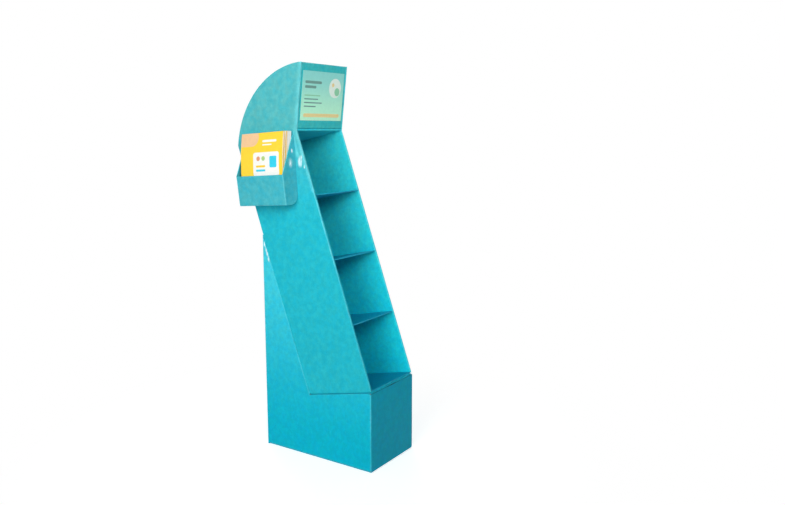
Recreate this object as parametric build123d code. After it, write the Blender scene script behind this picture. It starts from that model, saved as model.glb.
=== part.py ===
from build123d import *
import os
from math import atan2, cos, radians, sin, sqrt, tan

# A free-standing display stand of folded corrugated board. X runs across the
# stand, Y from the front to the back and Z up. The origin is on the floor, in
# the middle of the base. Lengths are in millimetres and angles in degrees.

# Board
board = 4.0                  # thickness of the corrugated board
fold = 3.0                   # radius of a fold, at the middle of the board
edge_rounding = 3.0          # rounding of a doubled edge
clearance = 0.3              # room between sheets that meet

# Base
base_width = 298.0
base_depth = 530.0
base_front_height = 320.0
dust_flap = 110.0            # side flaps above the bottom panel
tuck_flap = 45.0             # end of the bottom panel, turned up inside the back
seat_flap = 62.0             # ledge that the tray stands on
glue_lap = 35.0              # lap that closes the sheet into a sleeve
fold_lap = 1.0               # flat part drawn with each fold, where its panel starts
lap_bottom = 70.0            # height at which the glue lap starts
mitre_gap = 1.5              # room between two flaps that meet at a corner
wing_overlap = 10.0          # how far the wings lap the tray's sides, at the seat

# Supports inside the base
support_setback = 12.0       # from the front seat flap's free edge to the first cross support
support_spacing = 150.0      # from one cross support to the next
support_play = 0.8           # from the long support's ends to the walls

# Tray
tray_lean = 19.4             # lean of the tray's front and back from the vertical
shelf_slope = 12.0           # fall of the seat and the shelves towards the back
tray_depth = 315.0           # from front to back, along a shelf
wall_gap = 1.0               # hollow between the two boards of a side wall
bottom_inset = 6.0           # the bottom panel stays inside the walls' outer faces
shelf_count = 4
shelf_pitch = 258.0          # from one shelf to the next, along the front edge
shelf_setback = 1.0          # from the front edges of the walls to the shelf's edge
tab_width = 45.0             # tabs that hold a shelf in the walls
tab_margin = 48.0            # from the shelf's front and back to its side tabs
back_tab_offset = 70.0       # from the middle to each of the back tabs

# Head
header_height = 257.0        # from the ceiling's underside to the top
header_lean = 6.7            # forward lean of the header
head_radius = 357.0
ceiling_hem = 60.0           # doubled front part of the ceiling
card_width = 256.0
card_height = 188.0
card_thickness = 0.8
card_drop = 30.0             # from the top of the header to the card
card_corner = 2.0
glue_line = 0.1

# Leaflet pocket, on the tray's left side
pocket_board = 3.0
pocket_fold = 3.0            # radius of the pocket's folds, at the middle of its board
pocket_along = 89.3          # place of its lower front corner, along a shelf
pocket_up = 759.0            # and along the tray's front edge
pocket_tilt = 3.8            # lean of the pocket, seen from the side
pocket_width = 242.5
pocket_bottom_depth = 72.0
pocket_top_depth = 79.5
pocket_front_height = 116.5
pocket_side_height = 266.0
pocket_back_height = 288.0
pocket_corner = 40.0         # radius of its rounded rear foot
pocket_tab = 30.0            # height of the tabs that hold the pocket
pocket_tab_low = 62.0        # height of the lower tabs above the pocket's foot
pocket_tab_high = 190.0

# Booklets in the pocket
booklet_count = 5
booklet_width = 216.0
booklet_height = 279.0
booklet_thickness = 5.0
booklet_side_room = 1.5      # from the pocket's front side panel
booklet_bow = 14.0           # how far the front booklet bows outwards
stack_top_depth = 54.0       # depth of the stack at its top edge
stack_room = 2.0             # from the pocket's front and back panels

across = Vector(1, 0, 0)
up_lean = Vector(0, sin(radians(tray_lean)), cos(radians(tray_lean)))
floor_run = Vector(0, cos(radians(shelf_slope)), -sin(radians(shelf_slope)))
floor_normal = Vector(0, sin(radians(shelf_slope)), cos(radians(shelf_slope)))
skew = cos(radians(tray_lean - shelf_slope))
fold_outer = fold + board / 2
seat_front = Vector(0, -base_depth / 2, base_front_height)
reach = 2 * (base_depth + base_front_height)
# A shallow arc is longer than its chord by this, times its height squared, over the chord
arc_loss = 8 / 3


def rise(thickness):
    """Distance along the tray's front edge that a thickness square to a shelf takes."""
    return thickness / skew


def tray_point(along, up):
    """Point at a distance along the seat and a distance up the tray's lean."""
    return seat_front + floor_run * along + up_lean * up


def flat(point):
    """Point of the side view, as the (Y, Z) pair that the side outlines are drawn with."""
    return (point.Y, point.Z)


def side_outline(points):
    """Closed outline in the side view."""
    return make_face(Polyline(*[flat(point) for point in points], close=True))


def slab(outline, x_from, x_to):
    """Side outline given a thickness across the stand."""
    return Pos(x_from, 0, 0) * extrude(Plane.YZ * outline, amount=x_to - x_from)


def folded_strip(points, thickness, radius):
    """Section of a sheet that is folded along the given middle line."""
    return trace(FilletPolyline(*points, radius=radius), line_width=thickness)


def shelf_plane(up):
    """Plane of a shelf: X across, Y towards the back, Z square to the shelf."""
    return Plane(origin=tray_point(0, up), x_dir=across, z_dir=floor_normal)


def block(x_from, x_to, y_from, y_to, z_from, z_to):
    """Box between two corners, in the coordinates of the plane it is placed on."""
    size = (x_to - x_from, y_to - y_from, z_to - z_from)
    middle = ((x_from + x_to) / 2, (y_from + y_to) / 2, (z_from + z_to) / 2)
    return Pos(*middle) * Box(*size)


# Levels and widths that several pieces share
tray_half = base_width / 2 - board - clearance
wall = 2 * board + wall_gap
bay_half = tray_half - wall
back_board = board / skew
wall_foot = rise(2 * clearance + board)
ceiling_level = wall_foot + shelf_count * shelf_pitch
ceiling_thickness = 2 * board + clearance
header_run = Vector(0, -sin(radians(header_lean)), cos(radians(header_lean)))
header_inward = Vector(0, cos(radians(header_lean)), sin(radians(header_lean)))
header_foot = tray_point(0, ceiling_level)
header_top = header_foot + header_run * header_height
back_corner = tray_point(tray_depth, ceiling_level)


def header_point(height):
    """Point of the header's front line at a height square to the ceiling."""
    return header_foot + header_run * (height / header_run.dot(floor_normal))


def head_centre():
    """Centre of the arc from the top of the header to the tray's back corner."""
    chord = back_corner - header_top
    half = chord.length / 2
    towards = Vector(0, chord.Z, -chord.Y).normalized()
    if towards.Z > 0:
        towards = towards * -1
    return header_top + chord * 0.5 + towards * sqrt(head_radius ** 2 - half ** 2)


def head_outline():
    """The head above the ceiling: header front, curved top and ceiling line."""
    centre = head_centre()
    crest = header_top + (back_corner - header_top) * 0.5 - centre
    middle = centre + crest.normalized() * head_radius
    edges = [
        Line(flat(header_foot), flat(header_top)),
        ThreePointArc(flat(header_top), flat(middle), flat(back_corner)),
        Line(flat(back_corner), flat(header_foot)),
    ]
    return make_face(edges)


def head_disc(inset):
    """Disc inside the head's arc, smaller than it by the inset."""
    centre = head_centre()
    return Pos(*flat(centre)) * Circle(head_radius - inset)


def tray_outline(back_inset):
    """Side of the tray from the wall's foot to the ceiling, short of the back by the inset."""
    return side_outline([
        tray_point(0, wall_foot),
        header_foot,
        tray_point(tray_depth - back_inset, ceiling_level),
        tray_point(tray_depth - back_inset, wall_foot),
    ])


def base_sleeve():
    """Four walls of the base, cut to the seat and the wings in the side view."""
    outer = RectangleRounded(base_width, base_depth, fold_outer)
    inner = RectangleRounded(base_width - 2 * board, base_depth - 2 * board, fold_outer - board)
    seat_back = tray_point(tray_depth - wing_overlap, 0)
    to_back = (base_depth / 2 - tray_point(tray_depth, 0).Y) / up_lean.Y
    wing_tip = tray_point(tray_depth, to_back)
    fold_drop = floor_normal * fold_outer
    front_top = seat_front - Vector(0, 0, fold_outer / cos(radians(shelf_slope)))
    outline = side_outline([
        Vector(0, -base_depth / 2, 0),
        front_top,
        seat_back - fold_drop,
        seat_back,
        wing_tip,
        Vector(0, base_depth / 2, 0),
    ])
    walls = extrude(outer - inner, amount=wing_tip.Z)
    walls = walls & slab(outline, -base_width / 2, base_width / 2)
    straight = base_width / 2 - fold_outer
    side_foot = board + clearance + fold_outer
    front_reach = base_depth / 2 - fold_outer
    flap_end = base_depth / 2 - 2 * board - 2 * clearance
    seat_turn = front_fold_length()
    walls -= block(-straight, straight, -base_depth / 2, -front_reach, 0, fold_outer)
    walls -= block(-straight, straight, -base_depth / 2, -front_reach,
                   base_front_height - seat_turn, base_front_height)
    for side in (-1, 1):
        corner = sorted((side * straight, side * base_width / 2))
        walls -= block(*corner, -base_depth / 2, flap_end, 0, side_foot)
    return walls


def front_fold_length():
    """Height that the fold at the top of the front wall takes."""
    half_inside = radians(90 - shelf_slope) / 2
    return fold_outer / tan(half_inside)


def base_bottom():
    """Bottom panel that starts at the front wall and tucks up inside the back wall."""
    front = -base_depth / 2 + board / 2
    tuck = base_depth / 2 - board - clearance - board / 2
    level = board / 2
    section = folded_strip(
        [(front, 2 * fold_outer), (front, level), (tuck, level), (tuck, tuck_flap)], board, fold)
    half = base_width / 2 - fold_outer
    return slab(section, -half, half)


def base_dust_flap(side):
    """Flap of a side wall that lies on the bottom panel."""
    outer = side * (base_width / 2 - board / 2)
    level = board + clearance + board / 2
    free_end = side * (base_width / 2 - dust_flap)
    section = folded_strip([(outer, level + 2 * fold), (outer, level), (free_end, level)],
                           board, fold)
    flap_end = base_depth / 2 - 2 * board - 2 * clearance
    start = Plane(origin=(0, -base_depth / 2 + fold_outer, 0), x_dir=across, z_dir=(0, -1, 0))
    length = flap_end + base_depth / 2 - fold_outer
    return extrude(start * section, amount=-length)


def seat_flap_side(side):
    """Ledge folded in from a side wall along the sloping seat, mitred at the front."""
    outer = side * (base_width / 2 - board / 2)
    level = -board / 2
    turned = side * (base_width / 2 - fold_outer - fold_lap)
    section = folded_strip([(outer, -2 * fold_outer), (outer, level), (turned, level)],
                           board, fold)
    first = fold_outer + mitre_gap
    last = tray_depth - wing_overlap - mitre_gap
    start = Plane(origin=seat_front + floor_run * first, x_dir=across, z_dir=floor_run * -1)
    bend = extrude(start * section, amount=-(last - first))
    near = side * (base_width / 2 - fold_outer)
    far = side * (base_width / 2 - seat_flap)
    ledge = make_face(Polyline(
        (near, first), (far, first + seat_flap - fold_outer), (far, last), (near, last),
        close=True))
    return bend + extrude(shelf_plane(0) * ledge, amount=-board)


def seat_flap_front():
    """Ledge folded in from the front wall, mitred at both ends."""
    turn = front_fold_length()
    outer = Vector(0, -base_depth / 2, base_front_height)
    wall_middle = -base_depth / 2 + board / 2
    corner_drop = board / 2 / cos(radians(shelf_slope)) + board / 2 * tan(radians(shelf_slope))
    corner = (wall_middle, outer.Z - corner_drop)
    run = turn + fold_lap
    tip = (corner[0] + floor_run.Y * run, corner[1] + floor_run.Z * run)
    section = folded_strip([(wall_middle, outer.Z - 2 * turn), corner, tip], board, fold)
    half = base_width / 2 - fold_outer - mitre_gap
    bend = slab(section, -half, half)
    ledge = make_face(Polyline(
        (-half, turn), (half, turn), (half - seat_flap + turn, seat_flap),
        (-half + seat_flap - turn, seat_flap), close=True))
    return bend + extrude(shelf_plane(0) * ledge, amount=-board)


def tray_room():
    """Space that the tray takes inside the wings, with the clearance round it."""
    outline = side_outline([
        seat_front - floor_run * reach,
        tray_point(-reach, reach),
        tray_point(tray_depth + clearance / skew, reach),
        tray_point(tray_depth + clearance / skew, 0),
    ])
    half = base_width / 2 - board
    return slab(outline, -half, half)


def base_glue_lap():
    """Lap from the back wall, glued to the inside of the left wall."""
    face = -base_width / 2 + board
    back = base_depth / 2 - board
    return block(face, face + board, back - glue_lap, back, lap_bottom, base_front_height * 3)


def make_base():
    """The base: one folded sheet with its bottom, ledges, lap and wings."""
    base = base_sleeve() + base_bottom()
    for side in (-1, 1):
        base += base_dust_flap(side) + seat_flap_side(side)
    base += seat_flap_front()
    return base + (base_glue_lap() - tray_room()) - tray_room()


def support_room():
    """Space inside the base under the seat: the supports are cut to it."""
    half = base_width / 2 - board - clearance
    front = -base_depth / 2 + board + support_play
    back = base_depth / 2 - 2 * board - clearance - support_play
    room = block(-half, half, front, back, board + clearance, base_front_height)
    above = shelf_plane(0) * block(-half, half, -reach, reach, -clearance, reach)
    flap_depth = seat_flap + mitre_gap
    under = -board - clearance
    front_ledge = shelf_plane(0) * block(-half, half, -board, flap_depth, under, 0)
    room = room - above - front_ledge
    dust = base_width / 2 - dust_flap - clearance
    ledge = base_width / 2 - seat_flap - clearance
    for side in (-1, 1):
        outer = side * base_width / 2
        room -= block(*sorted((side * dust, outer)), -base_depth, base_depth, 0,
                      2 * (board + clearance))
        room -= shelf_plane(0) * block(*sorted((side * ledge, outer)), 0, tray_depth, under, 0)
    return room


def cross_support_places():
    """Y of the two supports that run across the base."""
    first = tray_point(seat_flap + support_setback, 0).Y
    return [first, first + support_spacing]


def support_plates():
    """Plates of the supports before their slots are cut: one along the base, two across it."""
    room = support_room()
    along = block(-board / 2, board / 2, -reach, reach, 0, reach)
    plates = {"support_long": room & along}
    for name, place in zip(("support_cross_front", "support_cross_back"), cross_support_places()):
        across_plate = block(-reach, reach, place - board / 2, place + board / 2, 0, reach)
        plates[name] = room & across_plate
    return plates


def make_supports():
    """Slotted plates that cross under the seat: the long one is open below, the others above."""
    plates = support_plates()
    half = board / 2 + clearance
    for name, place in zip(("support_cross_front", "support_cross_back"), cross_support_places()):
        seat_height = base_front_height - (place + base_depth / 2) * tan(radians(shelf_slope))
        slot_end = seat_height / 2
        plates["support_long"] -= block(-board, board, place - half, place + half, 0, slot_end)
        plates[name] -= block(-half, half, place - board, place + board,
                              slot_end - clearance, reach)
    return plates


def on_front_line(point):
    """Whether a point is on the front edge of the tray or of the header."""
    for start, direction in ((tray_point(0, 0), up_lean), (header_foot, header_run)):
        offset = Vector(0, point.Y, point.Z) - start
        if abs(offset.cross(direction).X) < 1e-4 and offset.dot(direction) > 0:
            return True
    return False


def lengthwise(edge):
    """Whether an edge lies in a side face and not across the stand."""
    return abs(edge.start_point().X - edge.end_point().X) < 1e-6


def wall_slots(side):
    """Slots in the inner board of a side wall for the tabs of the shelves and the ceiling."""
    near = bay_half - clearance
    far = bay_half + board + clearance
    x_range = sorted((side * near, side * far))
    slots = None
    for step in range(shelf_count + 1):
        plane = shelf_plane(wall_foot + step * shelf_pitch)
        for tab_start in side_tab_places():
            slot = plane * block(*x_range, tab_start - clearance,
                                 tab_start + tab_width + clearance, -clearance, board + clearance)
            slots = slot if slots is None else slots + slot
    return slots


def side_tab_places():
    """Distances from the front edge to the start of each side tab."""
    return [tab_margin, tray_depth - tab_margin - tab_width]


def side_wall(side):
    """Side of the tray: one board folded back on itself at the front edges."""
    outline = tray_outline(0) + head_outline()
    outer = sorted((side * tray_half, side * bay_half))
    body = slab(outline, *outer)
    front_edges = [
        edge for edge in body.edges()
        if lengthwise(edge) and on_front_line(edge.start_point()) and on_front_line(edge.end_point())
    ]
    body = fillet(front_edges, edge_rounding)
    hollow = sorted((side * (tray_half - board), side * (bay_half + board)))
    inner = sorted((side * (tray_half - board), side * bay_half))
    front_strip = side_outline([
        tray_point(-board, 0),
        header_foot - floor_run * board,
        header_top - header_inward * board + header_run * board,
        header_top + header_inward * board + header_run * board,
        header_foot + floor_run * back_board,
        tray_point(back_board, 0),
    ])
    body -= slab(outline - front_strip, *hollow)
    hood_band = head_outline() - head_disc(board + clearance)
    body -= slab(hood_band, *inner)
    end_gap = side_outline([
        tray_point(tray_depth - back_board - rise(clearance), 0),
        tray_point(tray_depth - back_board - rise(clearance), ceiling_level),
        tray_point(tray_depth, ceiling_level),
        tray_point(tray_depth, 0),
    ])
    body -= slab(end_gap, *inner)
    return body - wall_slots(side)


def tray_back():
    """Back panel, with slots for the back tabs of the shelves above the lowest."""
    panel = slab(side_outline([
        tray_point(tray_depth - back_board, wall_foot),
        tray_point(tray_depth - back_board, ceiling_level),
        back_corner,
        tray_point(tray_depth, wall_foot),
    ]), -tray_half, tray_half)
    for step in range(1, shelf_count):
        plane = shelf_plane(wall_foot + step * shelf_pitch)
        for place in (-back_tab_offset, back_tab_offset):
            panel -= plane * block(place - tab_width / 2 - clearance,
                                   place + tab_width / 2 + clearance,
                                   tray_depth - 3 * board, tray_depth + 3 * board,
                                   -clearance, board + clearance)
    return panel


def tray_bottom():
    """Bottom panel, folded forward from the back panel and set in at the front and sides."""
    low = clearance + board / 2
    back = tray_depth - back_board / 2
    points = [tray_point(bottom_inset, rise(low)), tray_point(back, rise(low)),
              tray_point(back, rise(low) + 2 * fold_outer)]
    section = folded_strip([flat(point) for point in points], board, fold)
    half = tray_half - bottom_inset
    return slab(section, -half, half)


def make_tray():
    """The tray: one folded sheet with doubled sides, back, bottom and the sides of the head."""
    tray = tray_back() + tray_bottom()
    tray += side_wall(-1)
    tray += side_wall(1)
    back_line = tray_point(tray_depth, 0)
    corners = [
        edge for edge in tray.edges()
        if lengthwise(edge) and abs(abs(edge.start_point().X) - tray_half) < 1e-4
        and edge.length > ceiling_level / 2
        and abs((edge.start_point() - back_line).cross(up_lean).X) < 1e-4
    ]
    tray = fillet(corners, edge_rounding)
    return tray - pocket_slots()


def shelf_sheet(back_tabs):
    """Flat shelf with its side tabs, and back tabs if asked, in its own plane."""
    half = bay_half - clearance
    depth = tray_depth - back_board - clearance
    sheet = block(-half, half, shelf_setback, depth, 0, board)
    for side in (-1, 1):
        x_range = sorted((side * (half - board), side * (bay_half + board)))
        for tab_start in side_tab_places():
            sheet += block(*x_range, tab_start, tab_start + tab_width, 0, board)
        place = side * back_tab_offset
        if back_tabs:
            sheet += block(place - tab_width / 2, place + tab_width / 2,
                           depth - board, tray_depth - clearance, 0, board)
    return sheet


def make_shelf(index):
    """One of the equal shelves: the lowest lies on the tray's bottom panel."""
    plane = shelf_plane(wall_foot + index * shelf_pitch)
    return plane * shelf_sheet(index > 0)


def make_ceiling():
    """Board over the top compartment, doubled back at the front under the header."""
    plane = shelf_plane(ceiling_level)
    single = plane * shelf_sheet(False)
    half = bay_half - clearance
    front = slab(side_outline([
        header_foot,
        header_point(ceiling_thickness),
        header_point(ceiling_thickness) + floor_run * ceiling_hem,
        header_foot + floor_run * ceiling_hem,
    ]), -half, half)
    lip = [
        edge for edge in front.edges()
        if not lengthwise(edge) and on_front_line(edge.center())
    ]
    front = fillet(lip, edge_rounding)
    hollow = plane * block(-half, half, board, 2 * ceiling_hem, board, board + clearance)
    hood_room = slab(head_outline() - head_disc(board + clearance), -half, half)
    return front - hollow + (single - hood_room)


def make_hood():
    """Curved top and header front: one sheet, folded at the top edge of the header."""
    curve_half = tray_half - board - clearance
    panel_half = bay_half - clearance
    outline = head_outline()
    top = [point for point in outline.vertices()
           if abs(point.X - header_top.Y) + abs(point.Y - header_top.Z) < 1e-4]
    outline = fillet(top, fold_outer)
    start = header_point(ceiling_thickness + clearance)
    front = side_outline([
        start, header_top, header_top + header_inward * board, start + header_inward * board,
    ])
    hood = slab(outline - head_disc(board), -curve_half, curve_half)
    hood += slab(outline & front, -panel_half, panel_half)
    return hood - shelf_plane(ceiling_level) * block(-reach, reach, 0, reach, -board, clearance)


def make_header_card():
    """Printed card, glued to the header."""
    middle = header_top - header_run * (card_drop + card_height / 2) - header_inward * glue_line
    plane = Plane(origin=middle, x_dir=across, z_dir=header_inward * -1)
    return extrude(plane * RectangleRounded(card_width, card_height, card_corner),
                   amount=card_thickness)


# The pocket's own plane lies on the tray's left side: X runs towards the back, Y up
# the pocket and Z into the tray, so that its depth is negative.
pocket_run = Vector(0, cos(radians(pocket_tilt)), -sin(radians(pocket_tilt)))
pocket_corner_point = tray_point(pocket_along, pocket_up) - across * tray_half
pocket_plane = Plane(origin=pocket_corner_point, x_dir=pocket_run, z_dir=across)


def pocket_slab(section, start, end):
    """Section of depth and height, given a length along the pocket."""
    origin = pocket_plane.from_local_coords(Vector(start, 0, 0))
    plane = Plane(origin=origin, x_dir=across * -1, z_dir=pocket_run)
    return extrude(plane * section, amount=end - start)


def pocket_tabs(room):
    """Tabs of the side panels that go through the tray's outer board, or their slots."""
    tabs = None
    for height in (pocket_tab_low, pocket_tab_high):
        for start in (0, pocket_width - pocket_board):
            tab = pocket_plane * block(start - room, start + pocket_board + room,
                                       height - room, height + pocket_tab + room,
                                       -pocket_board, board + room)
            tabs = tab if tabs is None else tabs + tab
    return tabs


def pocket_slots():
    """Slots for the pocket's tabs in the outer board of the tray's left side."""
    return pocket_tabs(clearance)


def pocket_side():
    """Side panel: its edge slopes from the front's top to the stand, its rear foot is round."""
    outline = make_face(Polyline(
        (clearance, 0), (pocket_bottom_depth, 0), (pocket_top_depth, pocket_front_height),
        (clearance + 2 * pocket_board, pocket_side_height), (clearance, pocket_side_height),
        close=True))
    feet = outline.vertices().sort_by(Axis.Y)[:2].sort_by(Axis.X)
    outline = fillet(feet[0], pocket_corner)
    front_foot = outline.vertices().sort_by(Axis.Y)[:2].sort_by(Axis.X)[-1]
    return fillet(front_foot, pocket_fold + pocket_board / 2)


def make_pocket():
    """The leaflet pocket: back, bottom and front in a strip, side panels from the front."""
    middle = pocket_board / 2
    front_lean = atan2(pocket_top_depth - pocket_bottom_depth, pocket_front_height)
    front_middle = pocket_bottom_depth - middle / cos(front_lean)
    strip = folded_strip([
        (clearance + middle, pocket_back_height),
        (clearance + middle, middle),
        (front_middle + middle * tan(front_lean), middle),
        (front_middle + pocket_front_height * tan(front_lean), pocket_front_height),
    ], pocket_board, (pocket_corner - middle, pocket_fold))
    behind = Pos(pocket_bottom_depth / 2, 0) * Rectangle(
        pocket_bottom_depth, 2 * reach, align=(Align.MAX, Align.CENTER))
    below = Pos(0, pocket_fold + middle) * Rectangle(
        2 * reach, reach, align=(Align.CENTER, Align.MAX))
    inset = pocket_board + clearance
    pocket = pocket_slab(strip, inset, pocket_width - inset)
    pocket += pocket_slab(strip - behind - below, 0, pocket_width)
    pocket += pocket_slab(pocket_side(), 0, pocket_board)
    pocket += pocket_slab(pocket_side(), pocket_width - pocket_board, pocket_width)
    folds = [edge for edge in pocket.edges() if is_pocket_fold(edge)]
    pocket = fillet(folds, pocket_fold - middle)
    return pocket + pocket_tabs(0)


def is_pocket_fold(edge):
    """Whether an edge is an upright outer corner between the pocket's front and a side."""
    lean_step = (pocket_top_depth - pocket_bottom_depth) / pocket_front_height
    for point in (edge.start_point(), edge.end_point()):
        place = pocket_plane.to_local_coords(point)
        at_side = min(abs(place.X), abs(place.X - pocket_width)) < 1e-4
        at_front = abs(-place.Z - pocket_bottom_depth - place.Y * lean_step) < 1e-4
        if not (at_side and at_front):
            return False
    return edge.length > pocket_front_height / 2


def make_booklet(index):
    """Booklet leaning in the pocket, its foot on the flat of the bottom, bowed outwards."""
    share = (index + 0.5) / booklet_count
    back = clearance + pocket_board + stack_room
    foot_back = clearance + pocket_corner
    foot_front = pocket_bottom_depth - pocket_board - stack_room
    floor_height = pocket_board + clearance
    foot = foot_back + share * (foot_front - foot_back)
    top = back + share * (stack_top_depth - back)
    bow = booklet_bow * share
    chord = booklet_height - arc_loss * bow ** 2 / booklet_height
    top_height = floor_height + sqrt(chord ** 2 - (foot - top) ** 2)
    spine = ThreePointArc(
        (foot, floor_height - booklet_thickness),
        ((foot + top) / 2 + bow, (floor_height + top_height) / 2),
        (top, top_height))
    below = Pos(0, floor_height) * Rectangle(
        2 * reach, reach, align=(Align.CENTER, Align.MAX))
    section = trace(spine, line_width=booklet_thickness) - below
    start = pocket_board + booklet_side_room
    return pocket_slab(section, start, start + booklet_width)


def write_parts(parts):
    """Write each piece to its own file."""
    os.makedirs("parts", exist_ok=True)
    for name, piece in parts.items():
        export_step(piece, f"parts/{name}.step")


pieces = {
    "base": make_base(),
    "tray": make_tray(),
    "ceiling": make_ceiling(),
    "hood": make_hood(),
    "header_card": make_header_card(),
    "leaflet_pocket": make_pocket(),
}
pieces.update(make_supports())
for number in range(shelf_count):
    pieces[f"shelf_{number + 1}"] = make_shelf(number)
for number in range(booklet_count):
    pieces[f"booklet_{number + 1}"] = make_booklet(number)
write_parts(pieces)
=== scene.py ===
from math import cos, pi, radians, sin, sqrt, tan

import bmesh
import bpy
import numpy as np
from bpy.props import FloatProperty, FloatVectorProperty, IntProperty, PointerProperty
from mathutils import Matrix, Vector


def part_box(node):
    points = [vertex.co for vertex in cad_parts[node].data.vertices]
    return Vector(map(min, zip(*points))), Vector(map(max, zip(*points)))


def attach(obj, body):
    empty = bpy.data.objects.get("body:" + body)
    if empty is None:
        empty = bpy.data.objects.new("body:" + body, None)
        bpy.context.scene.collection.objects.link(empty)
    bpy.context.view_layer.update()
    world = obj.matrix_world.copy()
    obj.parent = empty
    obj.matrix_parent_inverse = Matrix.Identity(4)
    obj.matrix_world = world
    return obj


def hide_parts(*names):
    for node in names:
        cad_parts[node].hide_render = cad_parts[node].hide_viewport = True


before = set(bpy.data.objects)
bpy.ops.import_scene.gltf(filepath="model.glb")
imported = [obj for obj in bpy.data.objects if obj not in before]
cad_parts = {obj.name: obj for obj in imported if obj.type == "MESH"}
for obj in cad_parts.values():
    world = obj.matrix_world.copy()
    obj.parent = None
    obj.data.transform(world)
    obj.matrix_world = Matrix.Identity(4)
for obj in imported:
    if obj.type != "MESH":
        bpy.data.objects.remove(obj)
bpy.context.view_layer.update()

bl_info = {
    "name": "Cardboard display stand",
    "version": (1, 0, 0),
    "blender": (4, 5, 0),
    "location": "3D View > Sidebar > Stand",
    "description": "Finishes a folded corrugated-board display stand and sets its stage",
    "category": "Object",
}

BODY = "root"
MM = 0.001

# Sizes of the model that the new pieces and the finishes follow, in metres and radians
HALF_WIDTH, HALF_DEPTH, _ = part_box("base")[1]
BOARD = 4 * MM
CLEARANCE = 0.3 * MM
SEAT_HEIGHT = 320 * MM
TRAY_LEAN = radians(19.4)
SHELF_SLOPE = radians(12.0)
TRAY_DEPTH = 315 * MM
WING_OVERLAP = 10 * MM
SHELF_PITCH = 258 * MM
SHELF_COUNT = 4
WALL = 9 * MM
HEADER_LEAN = radians(6.7)
HEADER_HEIGHT = 257 * MM
HEAD_RADIUS = 357 * MM
CARD_HEIGHT = 188 * MM
CARD_DROP = 30 * MM
POCKET_BOARD = 3 * MM
POCKET_ALONG = 89.3 * MM
POCKET_UP = 759 * MM
POCKET_TILT = radians(3.8)
POCKET_WIDTH = 242.5 * MM
POCKET_BOTTOM_DEPTH = 72 * MM
POCKET_TOP_DEPTH = 79.5 * MM
POCKET_FRONT_HEIGHT = 116.5 * MM
POCKET_SIDE_HEIGHT = 266 * MM
POCKET_BACK_HEIGHT = 288 * MM
POCKET_CORNER = 40 * MM
BOOKLET_COUNT = 5
BOOKLET_WIDTH = 216 * MM
BOOKLET_HEIGHT = 279 * MM
BOOKLET_THICKNESS = 5 * MM
BOOKLET_SIDE_ROOM = 1.5 * MM
BOOKLET_BOW = 14 * MM
STACK_TOP_DEPTH = 54 * MM
STACK_ROOM = 2 * MM
LEAFLET_GAP = 0.1 * MM
LEAFLET_FAN = 0.3 * MM
# What a shallow bow loses in length, as a factor of its height squared over its length
ARC_LOSS = 8 / 3

# Finishes: stretch of a glint, a painted highlight, on the side and on the front, heights
# between which the second colour, painted light inside the tray, changes, ink at the ends of
# the slow drift, soft rim of a printed field, and its depth in millimetres, which is right through
SIDE_SPOT = (3.0, 1.0, 0.5)
FRONT_SPOT = (1.0, 3.0, 0.5)
SECOND_RISE = (0.35, 1.3)
INK_DRIFT = ((0.75, 0.97, 1.02), (1.25, 1.03, 0.98))
FIELD_RIM = 0.25 * MM
THROUGH = 1000.0
# Shares of a paper's tone that its fibres and its most yellowed pages have
FIBRE_TONE = 0.7
PAGE_CREAM = (0.95, 0.90, 0.84)

# Points along the head's arc, a leaflet's line and its spine
HEAD_POINTS = 64
LEAFLET_POINTS = 25
SPINE_POINTS = 9
# Floor of the flutes and top of the wave, as shares of an edge's rise
FLUTE_FLOOR = 0.15
WAVE_TOP = 0.9
# Share of the room between two pages that half a page takes, and the seed of what is random
PAGE_SHARE = 0.42
SEED = 11

# Stage: the width of the camera's sensor in millimetres, the distances between which the
# floor turns white, and each lamp's name, setting, size, spread in degrees, place and target
WHITE = (1, 1, 1, 1)
SENSOR_WIDTH = 36.0
FLOOR_FADE = (0.45, 1.3)
LAMPS = (
    ("window", "key", 2.5, 180, (-4.4, -0.9, 1.9), (0, 0, 0.8)),
    ("fill", "fill", 1.2, 62, (-1.8, -2.4, 2.5), (0, 0.1, 1.4)),
    ("back", "back", 3.0, 180, (2.8, 3.0, 3.2), (0, 0, 0.8)))

# Directions and points of the side view
ACROSS = np.array((1.0, 0.0, 0.0))
DEPTHWAYS = np.array((0.0, 1.0, 0.0))
UP_LEAN = np.array((0.0, sin(TRAY_LEAN), cos(TRAY_LEAN)))
LEAN_SQUARE = np.array((0.0, cos(TRAY_LEAN), -sin(TRAY_LEAN)))
SHELF_RUN = np.array((0.0, cos(SHELF_SLOPE), -sin(SHELF_SLOPE)))
HEADER_RUN = np.array((0.0, -sin(HEADER_LEAN), cos(HEADER_LEAN)))
POCKET_RUN = np.array((0.0, cos(POCKET_TILT), -sin(POCKET_TILT)))
POCKET_RISE = np.array((0.0, sin(POCKET_TILT), cos(POCKET_TILT)))
SEAT_FRONT = np.array((0.0, -HALF_DEPTH, SEAT_HEIGHT))
TRAY_HALF = HALF_WIDTH - BOARD - CLEARANCE
WALL_FOOT = (2 * CLEARANCE + BOARD) / cos(TRAY_LEAN - SHELF_SLOPE)
CEILING_LEVEL = WALL_FOOT + SHELF_COUNT * SHELF_PITCH


def tray_point(along, up):
    """Point at a distance along the seat and a distance up the tray's lean."""
    return SEAT_FRONT + SHELF_RUN * along + UP_LEAN * up


def both_sides(half):
    """Shifts to the left and to the right of the middle."""
    return [ACROSS * half * sign for sign in (-1, 1)]


HEADER_FOOT = tray_point(0, CEILING_LEVEL)
HEADER_TOP = HEADER_FOOT + HEADER_RUN * HEADER_HEIGHT
BACK_CORNER = tray_point(TRAY_DEPTH, CEILING_LEVEL)
POCKET_FOOT = tray_point(POCKET_ALONG, POCKET_UP) - ACROSS * TRAY_HALF


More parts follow.
